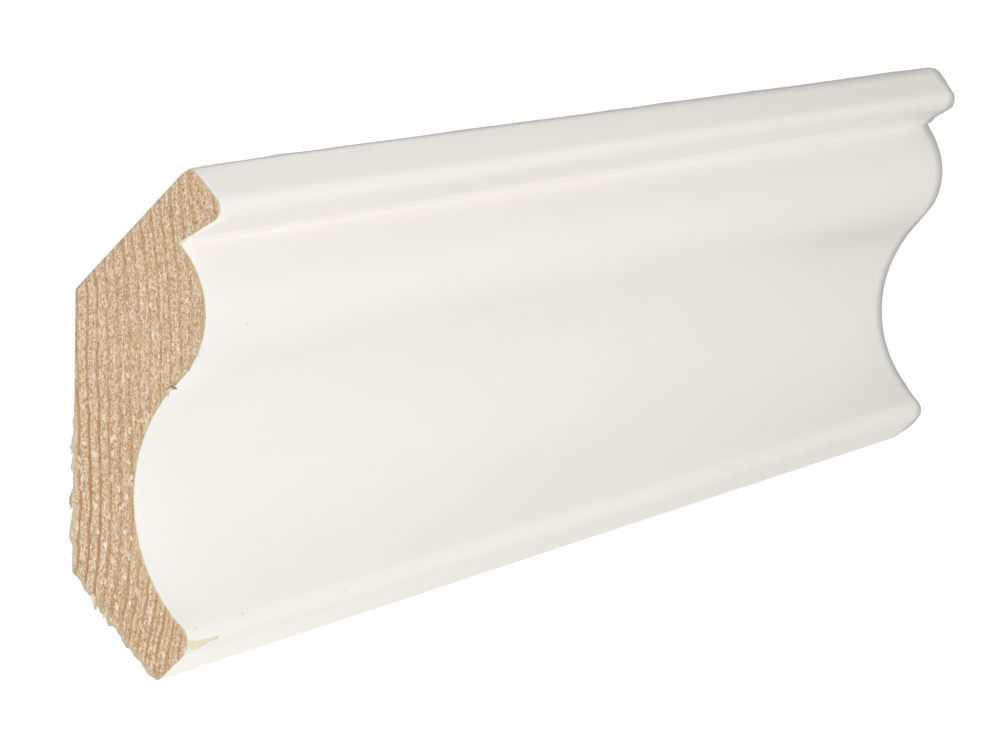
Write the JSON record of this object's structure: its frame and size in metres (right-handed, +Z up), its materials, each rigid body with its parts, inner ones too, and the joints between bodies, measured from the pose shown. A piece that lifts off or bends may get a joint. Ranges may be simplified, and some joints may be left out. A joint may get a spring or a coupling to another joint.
{
  "type": "crown moulding length",
  "caption": "Short length of softwood crown moulding with an ogee face, sunk upper fillet and two rear bevels, painted white on the face and sawn square at both ends.",
  "frame": {"origin": "middle of the lower rear bevel, the flat seat that lies on the wall", "axes": "+X along the length, +Y into the wall, +Z up to the ceiling"},
  "size_m": [0.246, 0.0509, 0.0453],
  "materials": {
    "painted_softwood": "satin warm white paint on the face and edges, bare sawn pine on the ends and back"
  },
  "bodies": {
    "root": {"crown_moulding": "painted_softwood"}
  },
  "joints": []
}
